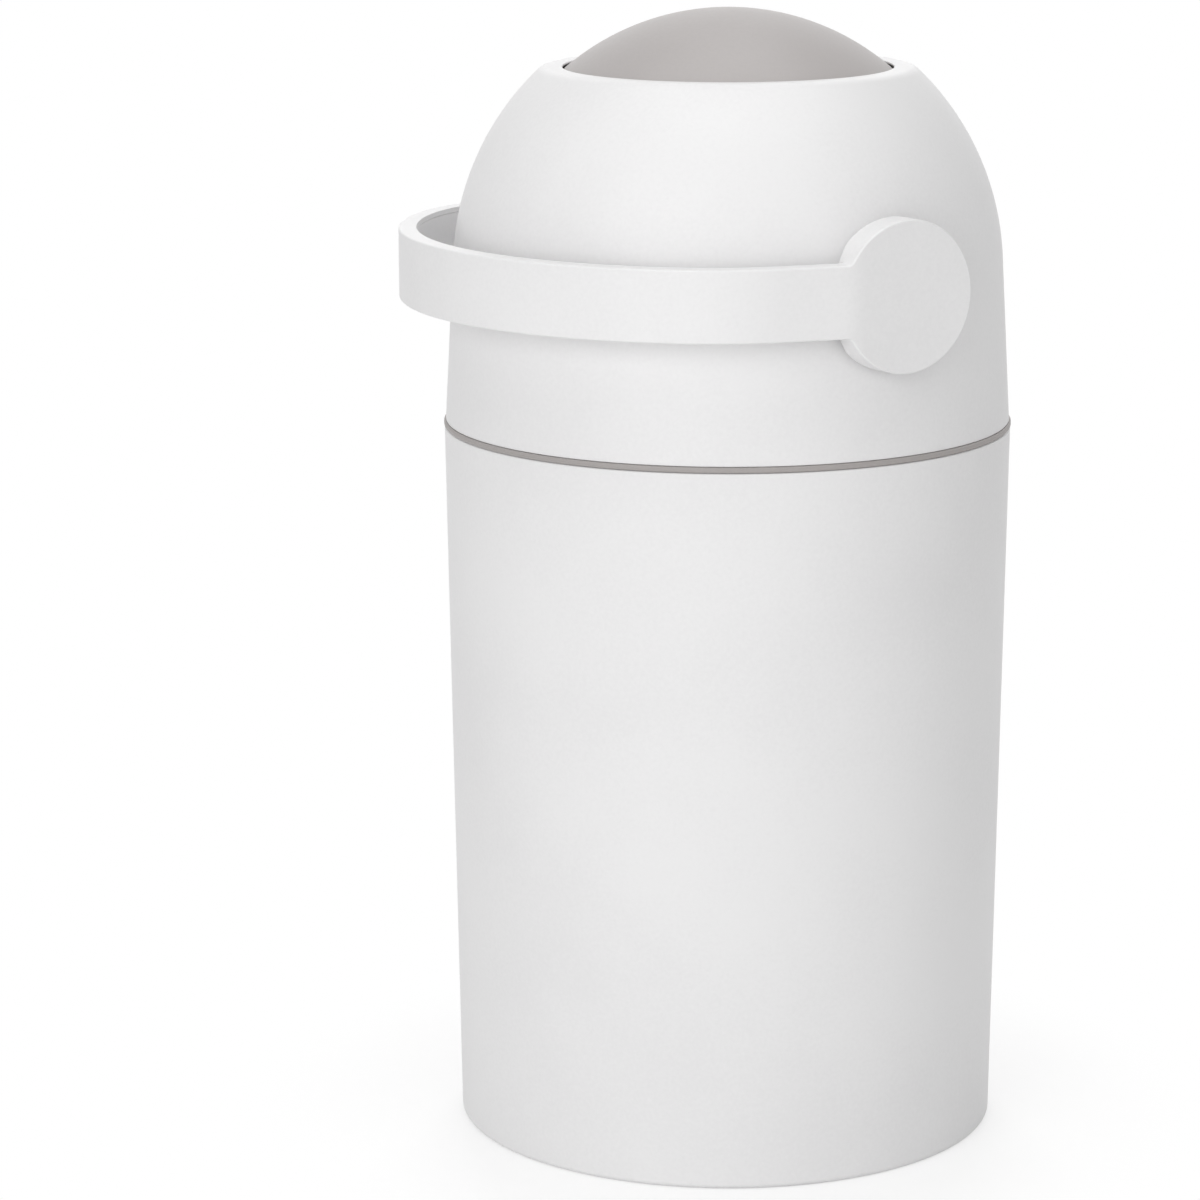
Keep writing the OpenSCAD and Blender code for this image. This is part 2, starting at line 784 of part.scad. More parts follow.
// Fills the corners between the band's edges and a round end with a hollow round, which stays
// between the rounded edges of their faces.
module neck_fillets() {
    e = band_edge_r;
    up = band_h / 2 + neck_r;
    lean = asin(up / (disc_r + neck_r));
    along = (disc_r + neck_r) * cos(lean);
    to_corner = [sin(lean), -cos(lean)];
    for (flip = [0, 1]) mirror([flip, 0, 0]) translate([0, 0, disc_t - band_t + e])
        linear_extrude(band_t - 2 * e) difference() {
            polygon([
                [up - neck_r - into, -along], [up - neck_r, -along], [up, -along],
                disc_r * to_corner, (disc_r - 2 * into) * to_corner]);
            translate([up, -along]) circle(r = neck_r);
        }
}

module end_disc_space() cylinder(r = disc_space_r, h = disc_t - bow_wall);

module handle_bow() {
    boss_x = flange_x + axle_flange_t + flange_gap;
    color(white) difference() {
        union() {
            difference() {
                union() {
                    along_band() rounded_band();
                    intersection() {
                        for (side = [-1, 1]) on_pivot(disc_back_x, side) {
                            end_disc();
                            neck_fillets();
                        }
                        inside_plan();
                    }
                }
                along_band() band_channel();
                for (side = [-1, 1]) on_pivot(disc_back_x, side) end_disc_space();
                for (side = [-1, 1]) on_pivot(disc_back_x - past, side)
                    cylinder(r = disc_space_r, h = 2 * past);
            }
            // wall of the round end, as far as the band's open inner side
            difference() {
                for (side = [-1, 1]) on_pivot(disc_back_x, side) difference() {
                    cylinder(r = disc_r, h = disc_t - band_t);
                    translate([0, 0, -past]) cylinder(r = disc_space_r, h = disc_t);
                }
                along_band() translate([-band_t - liner_gap, pivot_z - band_h / 2])
                    square([band_t, band_h]);
            }
            for (side = [-1, 1]) on_pivot(boss_x, side) on_flange_holes()
                cylinder(r = small_hole_r + small_boss_wall, h = arm_x - bow_wall - boss_x + into / 2);
        }
        for (side = [-1, 1]) on_pivot(boss_x - past, side) on_flange_holes()
            cylinder(r = small_hole_r, h = arm_x - boss_x + past - bow_wall);
    }
}

module handle_liner() {
    h = channel_h - 2 * liner_gap;
    color(white) difference() {
        along_band() {
            translate([-band_t, pivot_z - h / 2]) square([liner_t, h]);
            translate([-band_t + (liner_t - liner_bead_t) / 2, pivot_z - h / 2 - liner_bead_h])
                square([liner_bead_t, h + 2 * liner_bead_h]);
        }
        for (side = [-1, 1]) on_pivot(disc_back_x, side) cylinder(r = disc_space_r - into, h = disc_t + past);
    }
}

module end_cover(side) {
    color(white) on_pivot(disc_back_x, side) difference() {
        cylinder(r = disc_space_r - liner_gap, h = end_cover_t);
        translate([0, 0, -past]) cylinder(r = journal_r + cover_fit, h = end_cover_t + 2 * past);
        translate([0, 0, -past]) on_flange_holes()
            cylinder(r = small_head_r + cover_fit, h = end_cover_t + 2 * past);
    }
}
module end_cover_left() end_cover(-1);
module end_cover_right() end_cover(1);

module flange_screws() {
    color(steel) for (side = [-1, 1]) on_pivot(flange_x - seat_gap, side) on_flange_holes()
        screw(small_screw_r, small_screw_l, small_head_r, small_head_h);
}

base_bin();
bag_ring();
ring_seal();
head_shell();
head_tray();
tray_screws();
upper_seal();
lower_seal();
bush_left();
bush_right();
ball_body();
ball_dome();
cup();
axle_left();
axle_right();
axle_screws();
axle_washers();
handle_bow();
handle_liner();
end_cover_left();
end_cover_right();
flange_screws();
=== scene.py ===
import json
import math

import bmesh
import bpy
from mathutils import Matrix, Vector


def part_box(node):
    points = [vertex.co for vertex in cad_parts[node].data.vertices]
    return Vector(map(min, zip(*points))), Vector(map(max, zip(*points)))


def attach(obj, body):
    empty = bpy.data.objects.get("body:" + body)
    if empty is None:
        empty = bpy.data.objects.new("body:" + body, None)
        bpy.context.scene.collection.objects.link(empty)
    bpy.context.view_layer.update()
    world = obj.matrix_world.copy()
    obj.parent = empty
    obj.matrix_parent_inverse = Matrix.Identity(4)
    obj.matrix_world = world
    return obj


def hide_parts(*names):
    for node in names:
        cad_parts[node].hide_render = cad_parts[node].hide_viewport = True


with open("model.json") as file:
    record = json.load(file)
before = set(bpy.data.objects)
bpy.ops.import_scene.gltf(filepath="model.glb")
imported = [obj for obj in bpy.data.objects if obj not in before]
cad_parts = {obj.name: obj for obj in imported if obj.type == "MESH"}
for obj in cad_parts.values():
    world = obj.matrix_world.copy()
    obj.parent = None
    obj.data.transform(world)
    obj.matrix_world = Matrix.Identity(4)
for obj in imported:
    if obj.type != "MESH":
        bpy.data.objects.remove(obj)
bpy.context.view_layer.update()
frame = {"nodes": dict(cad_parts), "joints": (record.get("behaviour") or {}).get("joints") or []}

# ---- Camera ----
# The place from which the bin is seen: off the right-hand round end of the handle, a little above the
# head, through a long lens that keeps the sides almost parallel.
camera_round = math.radians(56.66)      # round the bin, counted from the grip's side
camera_away = 2.2024                    # along the floor, from the bin's axis
camera_up = 0.7432
look_past = math.radians(1.647)         # to the left of the bin's axis
look_down = math.radians(12.300)
camera_lean = math.radians(-0.177)

camera_data = bpy.data.cameras.new("bin_camera")
camera_data.lens = 135
camera_data.sensor_width = 36
camera = bpy.data.objects.new("bin_camera", camera_data)
bpy.context.scene.collection.objects.link(camera)
camera_place = (camera_away * math.sin(camera_round), -camera_away * math.cos(camera_round), camera_up)
camera.matrix_world = (
    Matrix.Translation(camera_place)
    @ Matrix.Rotation(camera_round + look_past, 4, "Z")
    @ Matrix.Rotation(math.pi / 2 - look_down, 4, "X")
    @ Matrix.Rotation(camera_lean, 4, "Z"))
bpy.context.scene.camera = camera


# ---- Base bin ----
# The tall white container: one injection-moulded polypropylene shell with a slight taper, a rounded
# foot, a ring to stand on and ribs under its floor. Its skin is finely spark-eroded.
MM = 0.001

base_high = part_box("base_bin")[1]
base_h = base_high.z
base_rim_r = base_high.x
base_foot_r = base_rim_r - 5.7 * MM
base_wall = 2.6 * MM
base_rim_edge = 1.0 * MM
base_rim_in_edge = 0.4 * MM
base_foot_edge = 3.0 * MM
base_floor_t = 3.0 * MM
base_floor_bend = 12.0 * MM
foot_ring_h = 3.0 * MM
foot_ring_w = 13.0 * MM
foot_ring_edge = 0.5 * MM
centre_pad_r = 24.0 * MM
floor_ribs = 12
floor_rib_t = 2.0 * MM
rib_sink = 1 * MM                       # into the pad, the ring and the floor
gate_r = 4.0 * MM
gate_depth = 0.8 * MM
shell_white = (0.845, 0.841, 0.843)
shell_shade = (0.800, 0.795, 0.799)


def arc(centre, radius, start, end, step=6.0):
    """Points of an arc in the plane of an outline, from the start angle to the end angle in degrees."""
    count = max(2, math.ceil(abs(end - start) / step))
    angles = [math.radians(start + (end - start) * i / count) for i in range(count + 1)]
    return [(centre[0] + radius * math.cos(a), centre[1] + radius * math.sin(a)) for a in angles]


def piece_from(made, name):
    """Puts a finished shape into the scene as a piece of this name."""
    mesh = bpy.data.meshes.new(name)
    made.to_mesh(mesh)
    made.free()
    piece = bpy.data.objects.new(name, mesh)
    bpy.context.scene.collection.objects.link(piece)
    return piece


def turned_shell(name, outline, steps=256):
    """A closed outline of (radius, height) points, turned round the bin's axis."""
    made = bmesh.new()
    rings = []
    for r, z in outline:
        if r < 1e-7:
            rings.append([made.verts.new((0, 0, z))])
            continue
        turns = [2 * math.pi * i / steps for i in range(steps)]
        rings.append([made.verts.new((r * math.cos(t), r * math.sin(t), z)) for t in turns])
    for ring, after in zip(rings, rings[1:] + rings[:1]):
        if len(ring) == 1 and len(after) == 1:
            continue
        for i in range(steps):
            j = (i + 1) % steps
            corners = [ring[i % len(ring)], ring[j % len(ring)], after[j % len(after)], after[i % len(after)]]
            made.faces.new(list(dict.fromkeys(corners)))
    bmesh.ops.recalc_face_normals(made, faces=made.faces)
    return piece_from(made, name)


def moulded_blocks(name, blocks):
    """Boxes given by their lowest corner, their size and the matrix that places them, in one mesh."""
    made = bmesh.new()
    for low, size, place in blocks:
        centre = [low[i] + size[i] / 2 for i in range(3)]
        matrix = place @ Matrix.Translation(centre) @ Matrix.Diagonal((*size, 1))
        bmesh.ops.create_cube(made, size=1, matrix=matrix)
    return piece_from(made, name)


# turns round tools a little, so that their facets don't lie on those of the shell that they cut
off_facets = Matrix.Rotation(math.radians(0.9), 4, "Z")


def moulded_pins(name, pins, steps=64):
    """Round pins given by their radius, their length and the matrix that points them along +Z."""
    made = bmesh.new()
    for radius, length, place in pins:
        matrix = place @ Matrix.Translation((0, 0, length / 2)) @ off_facets
        bmesh.ops.create_cone(made, cap_ends=True, segments=steps, radius1=radius, radius2=radius,
                              depth=length, matrix=matrix)
    return piece_from(made, name)


def join_shapes(piece, tool, operation):
    """Adds the tool's shape to the piece, or cuts it away, and takes the tool out of the scene."""
    change = piece.modifiers.new(operation, "BOOLEAN")
    change.operation = operation
    change.object = tool
    change.solver = "EXACT"
    bpy.context.view_layer.update()
    seen = piece.evaluated_get(bpy.context.evaluated_depsgraph_get())
    mesh = bpy.data.meshes.new_from_object(seen)
    mesh.name = piece.name
    shape = bmesh.new()
    shape.from_mesh(mesh)
    bmesh.ops.remove_doubles(shape, verts=shape.verts, dist=2e-6)
    bmesh.ops.dissolve_degenerate(shape, edges=shape.edges, dist=2e-6)
    shape.to_mesh(mesh)
    shape.free()
    piece.modifiers.clear()
    old, piece.data = piece.data, mesh
    bpy.data.meshes.remove(old)
    bpy.data.objects.remove(tool)


def smooth_skin(piece, crease=32.0):
    """Shades the piece as a moulding: smooth over its curves, flat on its flats, sharp past the crease."""
    piece.data.shade_smooth()
    piece.data.set_sharp_from_angle(angle=math.radians(crease))
    flats = piece.modifiers.new("flat_faces", "WEIGHTED_NORMAL")
    flats.keep_sharp = True
    flats.weight = 80


def base_wall_r(z):
    return base_foot_r + (base_rim_r - base_foot_r) * z / base_h


foot_in_r = base_foot_r - foot_ring_w
floor_top = foot_ring_h + base_floor_t
floor_bend_z = floor_top + base_floor_bend
floor_bend_r = base_wall_r(floor_bend_z) - base_wall - base_floor_bend
base_in_r = base_rim_r - base_wall
base_outline = (
    [(0, gate_depth), (gate_r, gate_depth), (gate_r + gate_depth, 0), (centre_pad_r - foot_ring_edge, 0)]
    + [(centre_pad_r, foot_ring_edge), (centre_pad_r, foot_ring_h)]
    + [(foot_in_r, foot_ring_h), (foot_in_r, foot_ring_edge), (foot_in_r + foot_ring_edge, 0)]
    + arc((base_foot_r - base_foot_edge, base_foot_edge), base_foot_edge, -90, 0, 9)
    + arc((base_rim_r - base_rim_edge, base_h - base_rim_edge), base_rim_edge, 0, 90, 15)
    + [(base_in_r + base_rim_in_edge, base_h), (base_in_r, base_h - base_rim_in_edge)]
    + arc((floor_bend_r, floor_bend_z), base_floor_bend, 0, -90, 6)
    + [(0, floor_top)])
base = turned_shell("base_shell", base_outline)
rib_low = (centre_pad_r - rib_sink, -floor_rib_t / 2, rib_sink)
rib_size = (foot_in_r - centre_pad_r + 2 * rib_sink, floor_rib_t, foot_ring_h)
ribs = moulded_blocks("ribs", [
    (rib_low, rib_size, Matrix.Rotation(2 * math.pi * i / floor_ribs, 4, "Z")) for i in range(floor_ribs)])
join_shapes(base, ribs, "UNION")
smooth_skin(base)


class Wire:
    """A socket of a finish's node tree. Sums of wires and numbers add the Math nodes that work them out."""

    def __init__(self, tree, socket=None):
        self.tree = tree
        self.socket = socket

    def node(self, kind, settings=None, sockets=None, out=0):
        """Adds a node: its settings first, then its sockets' values or wires."""
        made = self.tree.nodes.new(kind)
        for name, value in (settings or {}).items():
            setattr(made, name, value)
        for name, value in (sockets or {}).items():
            socket = made.inputs[name]
            if isinstance(value, Wire):
                self.tree.links.new(value.socket, socket)
            else:
                socket.default_value = (*value, 1) if socket.type == "RGBA" else value
        return Wire(self.tree, made.outputs[out])

    def output(self, name):
        """Another output of the node that this wire comes from."""
        return Wire(self.tree, self.socket.node.outputs[name])

    def math(self, operation, first, second=0.0):
        return self.node("ShaderNodeMath", {"operation": operation}, {0: first, 1: second})

    def __add__(self, other):
        return self.math("ADD", self, other)

    def __radd__(self, other):
        return self.math("ADD", other, self)

    def __sub__(self, other):
        return self.math("SUBTRACT", self, other)

    def __rsub__(self, other):
        return self.math("SUBTRACT", other, self)

    def __mul__(self, other):
        return self.math("MULTIPLY", self, other)

    def __rmul__(self, other):
        return self.math("MULTIPLY", other, self)

    def step(self, low, high):
        """0 where this wire is at low or under it, 1 at high or over it, and smooth between them."""
        return self.node("ShaderNodeMapRange", {"interpolation_type": "SMOOTHSTEP"},
                         {"Value": self, "From Min": low, "From Max": high})

    def blend(self, first, second):
        """The first colour where this wire is 0 and the second where it is 1."""
        return self.node("ShaderNodeMix", {"data_type": "RGBA"}, {"Factor": self, 6: first, 7: second}, out=2)


def noise(at, scale, detail=2.0, rough=0.5):
    """Soft random patches, 0 to 1, with a size of about 1 / scale metres."""
    return at.node("ShaderNodeTexNoise", {"noise_dimensions": "3D"},
                   {"Vector": at, "Scale": scale, "Detail": detail, "Roughness": rough})


def moulded_finish(name, tone, shade, gloss=0.42, grain=1500.0, grain_depth=0.02):
    """Moulded plastic: even colour with faint flow patches, a fine eroded grain and wiped, shinier areas."""
    finish = bpy.data.materials.new(name)
    finish.use_nodes = True
    tree = finish.node_tree
    surface = tree.nodes["Principled BSDF"]
    wire = Wire(tree)
    at = wire.node("ShaderNodeTexCoord", out=3)
    flow = noise(at, 9.0, 3.0)
    speck = noise(at, grain * 0.35, 1.0)
    wiped = noise(at, 22.0, 4.0, 0.6)
    mottle = (flow * 0.7 + speck * 0.3).step(0.35, 0.75)
    colour = mottle.blend(tone, shade)
    roughness = gloss + (wiped - 0.5) * 0.12 + (speck - 0.5) * 0.06
    bead = noise(at, grain, 1.0)
    bump = wire.node("ShaderNodeBump", None, {"Strength": 0.5, "Distance": grain_depth * MM, "Height": bead})
    tree.links.new(colour.socket, surface.inputs["Base Color"])
    tree.links.new(roughness.socket, surface.inputs["Roughness"])
    tree.links.new(bump.socket, surface.inputs["Normal"])
    surface.inputs["IOR"].default_value = 1.49
    return finish


white_finish = moulded_finish("white_moulding", shell_white, shell_shade)


def dress(piece, finish, body, slot, *nodes):
    """Gives a piece its finish, the body that it moves with and the nodes that it stands for. Its slot is not
    used.
    """
    piece.data.materials.clear()
    piece.data.materials.append(finish)
    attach(piece, body)
    if nodes:
        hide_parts(*nodes)


dress(base, white_finish, "bin", "white_shell", "base_bin")


# ---- Bag ring ----
# The warm-grey ring between bin and head. Its skirt hangs inside the bin's rim, a groove in its top
# takes the sealing cord, and its rounded edge is the thin line that shows.
ring_low, ring_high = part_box("bag_ring")
ring_r = ring_high.x - 0.3 * MM
ring_top = ring_high.z
ring_t = 3.1 * MM
ring_z = ring_top - ring_t
ring_edge = 0.8 * MM
ring_land = ring_top - 0.35 * MM        # its outer edge, a step under the groove's rim
ring_land_w = 4.5 * MM
ring_in_r = ring_r - 9.0 * MM
ring_in_edge = 0.4 * MM
skirt_foot = ring_low.z
skirt_r = base_wall_r(skirt_foot) - base_wall - 1.1 * MM
skirt_t = 2.0 * MM
skirt_edge = 0.5 * MM
bead_h = 3.0 * MM
bead_t = 0.5 * MM
bead_edge = 0.3 * MM
cord_out_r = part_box("ring_seal")[1].x
cord_w = 2.8 * MM
groove_depth = 1.5 * MM
groove_gap = 0.1 * MM
ring_grey = (0.387, 0.363, 0.352)
ring_shade = (0.361, 0.339, 0.329)

skirt_in_r = skirt_r - skirt_t
bead_r = skirt_r + bead_t
groove_out_r = cord_out_r + groove_gap
groove_in_r = cord_out_r - cord_w - groove_gap
groove_z = ring_top - groove_depth
ring_outline = (
    [(ring_in_r, ring_z), (skirt_in_r, ring_z), (skirt_in_r, skirt_foot + skirt_edge)]
    + [(skirt_in_r + skirt_edge, skirt_foot), (bead_r - bead_edge, skirt_foot)]
    + [(bead_r, skirt_foot + skirt_edge), (bead_r, skirt_foot + bead_h - skirt_edge)]
    + [(skirt_r, skirt_foot + bead_h), (skirt_r, ring_z)]
    + arc((ring_r - ring_edge, ring_z + ring_edge), ring_edge, -90, 0, 15)
    + arc((ring_r - ring_edge, ring_land - ring_edge), ring_edge, 0, 90, 15)
    + [(ring_r - ring_land_w, ring_land), (ring_r - ring_land_w, ring_top)]
    + [(groove_out_r, ring_top), (groove_out_r, groove_z), (groove_in_r, groove_z), (groove_in_r, ring_top)]
    + [(ring_in_r + ring_in_edge, ring_top), (ring_in_r, ring_top - ring_in_edge)])
ring = turned_shell("bag_ring_shell", ring_outline)
smooth_skin(ring)
ring_finish = moulded_finish("grey_ring_moulding", ring_grey, ring_shade, gloss=0.48)
dress(ring, ring_finish, "ring", "grey_ring", "bag_ring")


# ---- Sealing cord of the ring ----
# A soft rubber cord pressed into the ring's groove. Its thin lip touches the tray under the head and
# keeps the smell in.
cord_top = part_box("ring_seal")[1].z
cord_lip_w = 1.2 * MM
cord_mid = cord_out_r - cord_w / 2
cord_side_h = 0.6 * MM                  # over the ring's top
cord_lip_from = 1.2 * MM
rubber_dark = (0.095, 0.092, 0.090)
rubber_pale = (0.125, 0.121, 0.118)


def rubber_finish(name):
    """Soft black-grey rubber: matt, with a faint bloom in patches and a fine moulded tooth."""
    finish = bpy.data.materials.new(name)
    finish.use_nodes = True
    tree = finish.node_tree
    surface = tree.nodes["Principled BSDF"]
    wire = Wire(tree)
    at = wire.node("ShaderNodeTexCoord", out=3)
    bloom = noise(at, 60.0, 4.0, 0.6).step(0.4, 0.7)
    tooth = noise(at, 2600.0, 2.0)
    bump = wire.node("ShaderNodeBump", None, {"Strength": 0.6, "Distance": 0.03 * MM, "Height": tooth})
    tree.links.new(bloom.blend(rubber_dark, rubber_pale).socket, surface.inputs["Base Color"])
    tree.links.new((0.62 + bloom * 0.16).socket, surface.inputs["Roughness"])
    tree.links.new(bump.socket, surface.inputs["Normal"])
    return finish


cord_outline = (
    [(cord_out_r - cord_w, groove_z), (cord_out_r, groove_z), (cord_out_r, ring_top + cord_side_h)]
    + [(cord_mid + cord_lip_w / 2, ring_top + cord_lip_from)]
    + arc((cord_mid, cord_top - cord_lip_w / 2), cord_lip_w / 2, 0, 180, 15)
    + [(cord_mid - cord_lip_w / 2, ring_top + cord_lip_from)]
    + [(cord_out_r - cord_w, ring_top + cord_side_h)])
cord = turned_shell("ring_cord", cord_outline)
smooth_skin(cord)
rubber = rubber_finish("seal_rubber_skin")
dress(cord, rubber, "ring", "seal_rubber", "ring_seal")


# ---- Head shell ----
# The white domed head, one moulding: a slight cone that runs into a round top, cut flat round the wide
# opening. Bosses at its sides carry the handle's bushes, and ribbed posts inside take the tray's screws.
pivot = Vector(next(j for j in frame["joints"] if j["name"] == "handle_turn")["pos_m"])
head_low, head_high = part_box("head_shell")
head_z = head_low.z - 0.7 * MM          # down to 0.15 mm over the ring's outer land
lip_z = head_high.z
head_foot_r = 139.38 * MM
head_foot_edge = 0.4 * MM
head_wall = 2.8 * MM
top_r = 135.3 * MM                      # radius of the round top
top_z = pivot.z - 5.0 * MM              # height of its centre
opening_r = 81.0 * MM
opening_edge = 0.5 * MM
lip_t = 2.8 * MM
lip_blend = 8.0 * MM
ball_r = 123.14 * MM
ball_room = 1.16 * MM                   # between the ball and the lip
boss_r = 27.0 * MM
boss_edge = 0.8 * MM
boss_x = 138.0 * MM
boss_h = 6.5 * MM
boss_bore = 9.0 * MM
inner_boss_r = 17.0 * MM
inner_boss_x = 127.54 * MM
inner_boss_h = 6 * MM
bush_hole_r = 13.09 * MM
bush_hole_from = ball_r - 5 * MM
post_at = 122.0 * MM
post_count = 6
post_r = 4.5 * MM
post_h = 21.0 * MM
post_gap = 0.1 * MM                     # between the posts and the tray
post_hole_r = 2.0 * MM
post_hole_h = 18.0 * MM
web_t = 2.4 * MM
web_from = 3.1 * MM                     # from the post's middle
web_sink = 0.6 * MM                     # into the skin, at this height over the head's foot:
web_sink_at = 14 * MM
web_foot_gap = 0.9 * MM
tray_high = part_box("head_tray")[1]
tray_top = tray_high.z
tray_t = 2.4 * MM

# the cone meets the round top without a corner, at this slope from the upright
top_slope = math.degrees(
    math.acos(top_r / math.hypot(head_foot_r, top_z - head_z)) - math.atan2(top_z - head_z, head_foot_r))


def cone_r(skin_r, z):
    """Radius of the head's lower cone at height z, for the skin whose round top has radius skin_r."""
    slope = math.radians(top_slope)
    return (skin_r - (z - top_z) * math.sin(slope)) / math.cos(slope)


blend_z = lip_z - lip_blend
blend_r = math.sqrt((top_r - lip_blend) ** 2 - (blend_z - top_z) ** 2)
blend_lean = math.degrees(math.atan2(blend_z - top_z, blend_r))
skin_in_r = top_r - head_wall
lip_low = lip_z - lip_t
room_r = ball_r + ball_room
room_start = math.degrees(math.acos(opening_r / room_r))
room_end = math.degrees(math.asin((lip_low - pivot.z) / room_r))
in_top = math.degrees(math.asin((lip_low - top_z) / skin_in_r))
head_outline = (
    arc((head_foot_r - head_foot_edge, head_z + head_foot_edge), head_foot_edge, -90, 0, 15)
    + arc((0, top_z), top_r, top_slope, blend_lean, 1.5)
    + arc((blend_r, blend_z), lip_blend, blend_lean, 90, 4)[1:]
    + arc((opening_r + opening_edge, lip_z - opening_edge), opening_edge, 90, 180, 15)
    + arc((0, pivot.z), room_r, room_start, room_end, 1)
    + arc((0, top_z), skin_in_r, in_top, top_slope, 2)
    + [(cone_r(skin_in_r, head_z), head_z)])
head = turned_shell("head_shell_skin", head_outline)


def on_pivot(x, side):
    """Places what points along +Z so that it points outwards along the handle's pivot, from x."""
    return Matrix.Translation((side * x, 0, pivot.z)) @ Matrix.Rotation(side * math.pi / 2, 4, "Y")


sides = (-1, 1)
boss_outline = (
    [(boss_bore, 0), (boss_r, 0)] + arc((boss_r - boss_edge, boss_h - boss_edge), boss_edge, 0, 90, 18)
    + [(boss_bore, boss_h)])
for side in sides:
    boss = turned_shell("outer_boss", boss_outline, 96)
    boss.data.transform(on_pivot(boss_x - boss_h, side) @ off_facets)
    join_shapes(head, boss, "UNION")
join_shapes(head, moulded_pins("inner_bosses", [
    (inner_boss_r, inner_boss_h, on_pivot(inner_boss_x, side)) for side in sides]), "UNION")
web_w = cone_r(skin_in_r, head_z + web_sink_at) - post_at + web_sink - web_from
web_h = post_h - 1.6 * MM
post_turns = [2 * math.pi * (i + 0.5) / post_count for i in range(post_count)]
post_places = [Matrix.Rotation(turn, 4, "Z") @ Matrix.Translation((post_at, 0, 0)) for turn in post_turns]
join_shapes(head, moulded_blocks("post_webs", [
    ((web_from, -web_t / 2, tray_top + web_foot_gap), (web_w, web_t, web_h), place)
    for place in post_places]), "UNION")
post_foot = Matrix.Translation((0, 0, tray_top + post_gap))
join_shapes(head, moulded_pins("posts", [
    (post_r, post_h, place @ post_foot) for place in post_places]), "UNION")
join_shapes(head, moulded_pins("bush_holes", [
    (bush_hole_r, 40 * MM, on_pivot(bush_hole_from, side)) for side in sides], 96), "DIFFERENCE")
post_hole_foot = Matrix.Translation((0, 0, tray_top - 1 * MM))
join_shapes(head, moulded_pins("post_holes", [
    (post_hole_r, post_hole_h, place @ post_hole_foot) for place in post_places], 32), "DIFFERENCE")
smooth_skin(head)
dress(head, white_finish, "head", "white_shell", "head_shell")


# ---- Head tray ----
# The white tray that six screws hold under the head: a dish that lies close round the ball, a flat
# flange, and a collar that plugs into the bag ring and centres the head.
dish_r = ball_r + 3.26 * MM
tray_hole_r = 88.0 * MM
tray_z = tray_top - tray_t
collar_r = ring_in_r - 0.6 * MM
collar_h = 17.0 * MM
collar_edge = 0.8 * MM
collar_in_edge = 0.5 * MM
tray_screw_hole = 2.2 * MM
tray_out_r = tray_high.x
under_r = dish_r + tray_t
tray_white = (0.800, 0.797, 0.790)


def down_angle(radius, flat):
    """Angle, below the ball's middle, of the point of a sphere round the pivot at this flat radius."""
    return -math.degrees(math.acos(flat / radius))


collar_in_r = collar_r - tray_t
collar_z = tray_z - collar_h
tray_outline = (
    arc((0, pivot.z), under_r, down_angle(under_r, tray_hole_r),
        math.degrees(math.asin((tray_z - pivot.z) / under_r)), 1.5)
    + [(collar_in_r, tray_z), (collar_in_r, collar_z + collar_in_edge)]
    + [(collar_in_r + collar_in_edge, collar_z), (collar_r - collar_edge, collar_z)]
    + [(collar_r, collar_z + collar_edge), (collar_r, tray_z), (tray_out_r, tray_z), (tray_out_r, tray_top)]
    + arc((0, pivot.z), dish_r, math.degrees(math.asin((tray_top - pivot.z) / dish_r)),
          down_angle(dish_r, tray_hole_r), 1.5))
tray = turned_shell("head_tray_shell", tray_outline)
tray_hole_foot = Matrix.Translation((0, 0, tray_z - 2 * MM))
join_shapes(tray, moulded_pins("tray_holes", [
    (tray_screw_hole, 6 * MM, place @ tray_hole_foot) for place in post_places], 32), "DIFFERENCE")
smooth_skin(tray)
tray_finish = moulded_finish("tray_moulding", tray_white, shell_shade, gloss=0.5)
dress(tray, tray_finish, "head", "tray_plastic", "head_tray")


# ---- Ball seals ----
# Two soft rings round the ball: one glued under the round top, one on the tray's dish with its rim
# tucked through the tray's hole. A thin sheet of the dark rubber under the opening's edge is painted shade:
# it darkens the gap there.
seal_room = 0.3 * MM
upper_seal_r = 92.5 * MM
upper_seal_w = 4.0 * MM
seal_glue = 0.1 * MM
# thickness of the thin dark sheet under the opening's edge, which is painted shade in the gap
gap_shade_sheet_t = 0.35 * MM
lower_low, lower_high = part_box("lower_seal")
lower_in_r = tray_hole_r - 3.3 * MM
lower_rim_r = tray_hole_r - 0.1 * MM
lower_out_r = lower_high.x
touch_r = ball_r + seal_room
glued_r = skin_in_r - seal_glue
upper_outline = (
    arc((0, pivot.z), touch_r, math.degrees(math.acos((upper_seal_r + upper_seal_w) / touch_r)),
        math.degrees(math.acos(upper_seal_r / touch_r)), 1)
    + arc((0, top_z), glued_r, math.degrees(math.acos(upper_seal_r / glued_r)),
          math.degrees(math.acos((upper_seal_r + upper_seal_w) / glued_r)), 1))
upper_seal = turned_shell("upper_seal_ring", upper_outline)
smooth_skin(upper_seal)
dress(upper_seal, rubber, "head", "seal_rubber", "upper_seal")

# painted shade: a thin sheet of the dark rubber finish under the opening's edge, which darkens the gap
# between lip and ball
gap_shade_sheet_outline = (
    arc((0, pivot.z), room_r, room_start - 0.3, room_end, 1)
    + arc((0, pivot.z), room_r - gap_shade_sheet_t, room_end, room_start - 0.3, 1))
gap_shade_sheet = turned_shell("opening_gap_shade_sheet", gap_shade_sheet_outline)
smooth_skin(gap_shade_sheet)
dress(gap_shade_sheet, rubber, "head", "seal_rubber")

pad_r = dish_r - 0.1 * MM
lower_outline = (
    [(lower_in_r, lower_low.z), (lower_rim_r, lower_low.z)]
    + arc((0, pivot.z), pad_r, down_angle(pad_r, lower_rim_r), down_angle(pad_r, lower_out_r), 1)
    + arc((0, pivot.z), touch_r, down_angle(touch_r, lower_out_r), down_angle(touch_r, lower_in_r), 1))
lower_seal = turned_shell("lower_seal_ring", lower_outline)
smooth_skin(lower_seal)
dress(lower_seal, rubber, "head", "seal_rubber", "lower_seal")


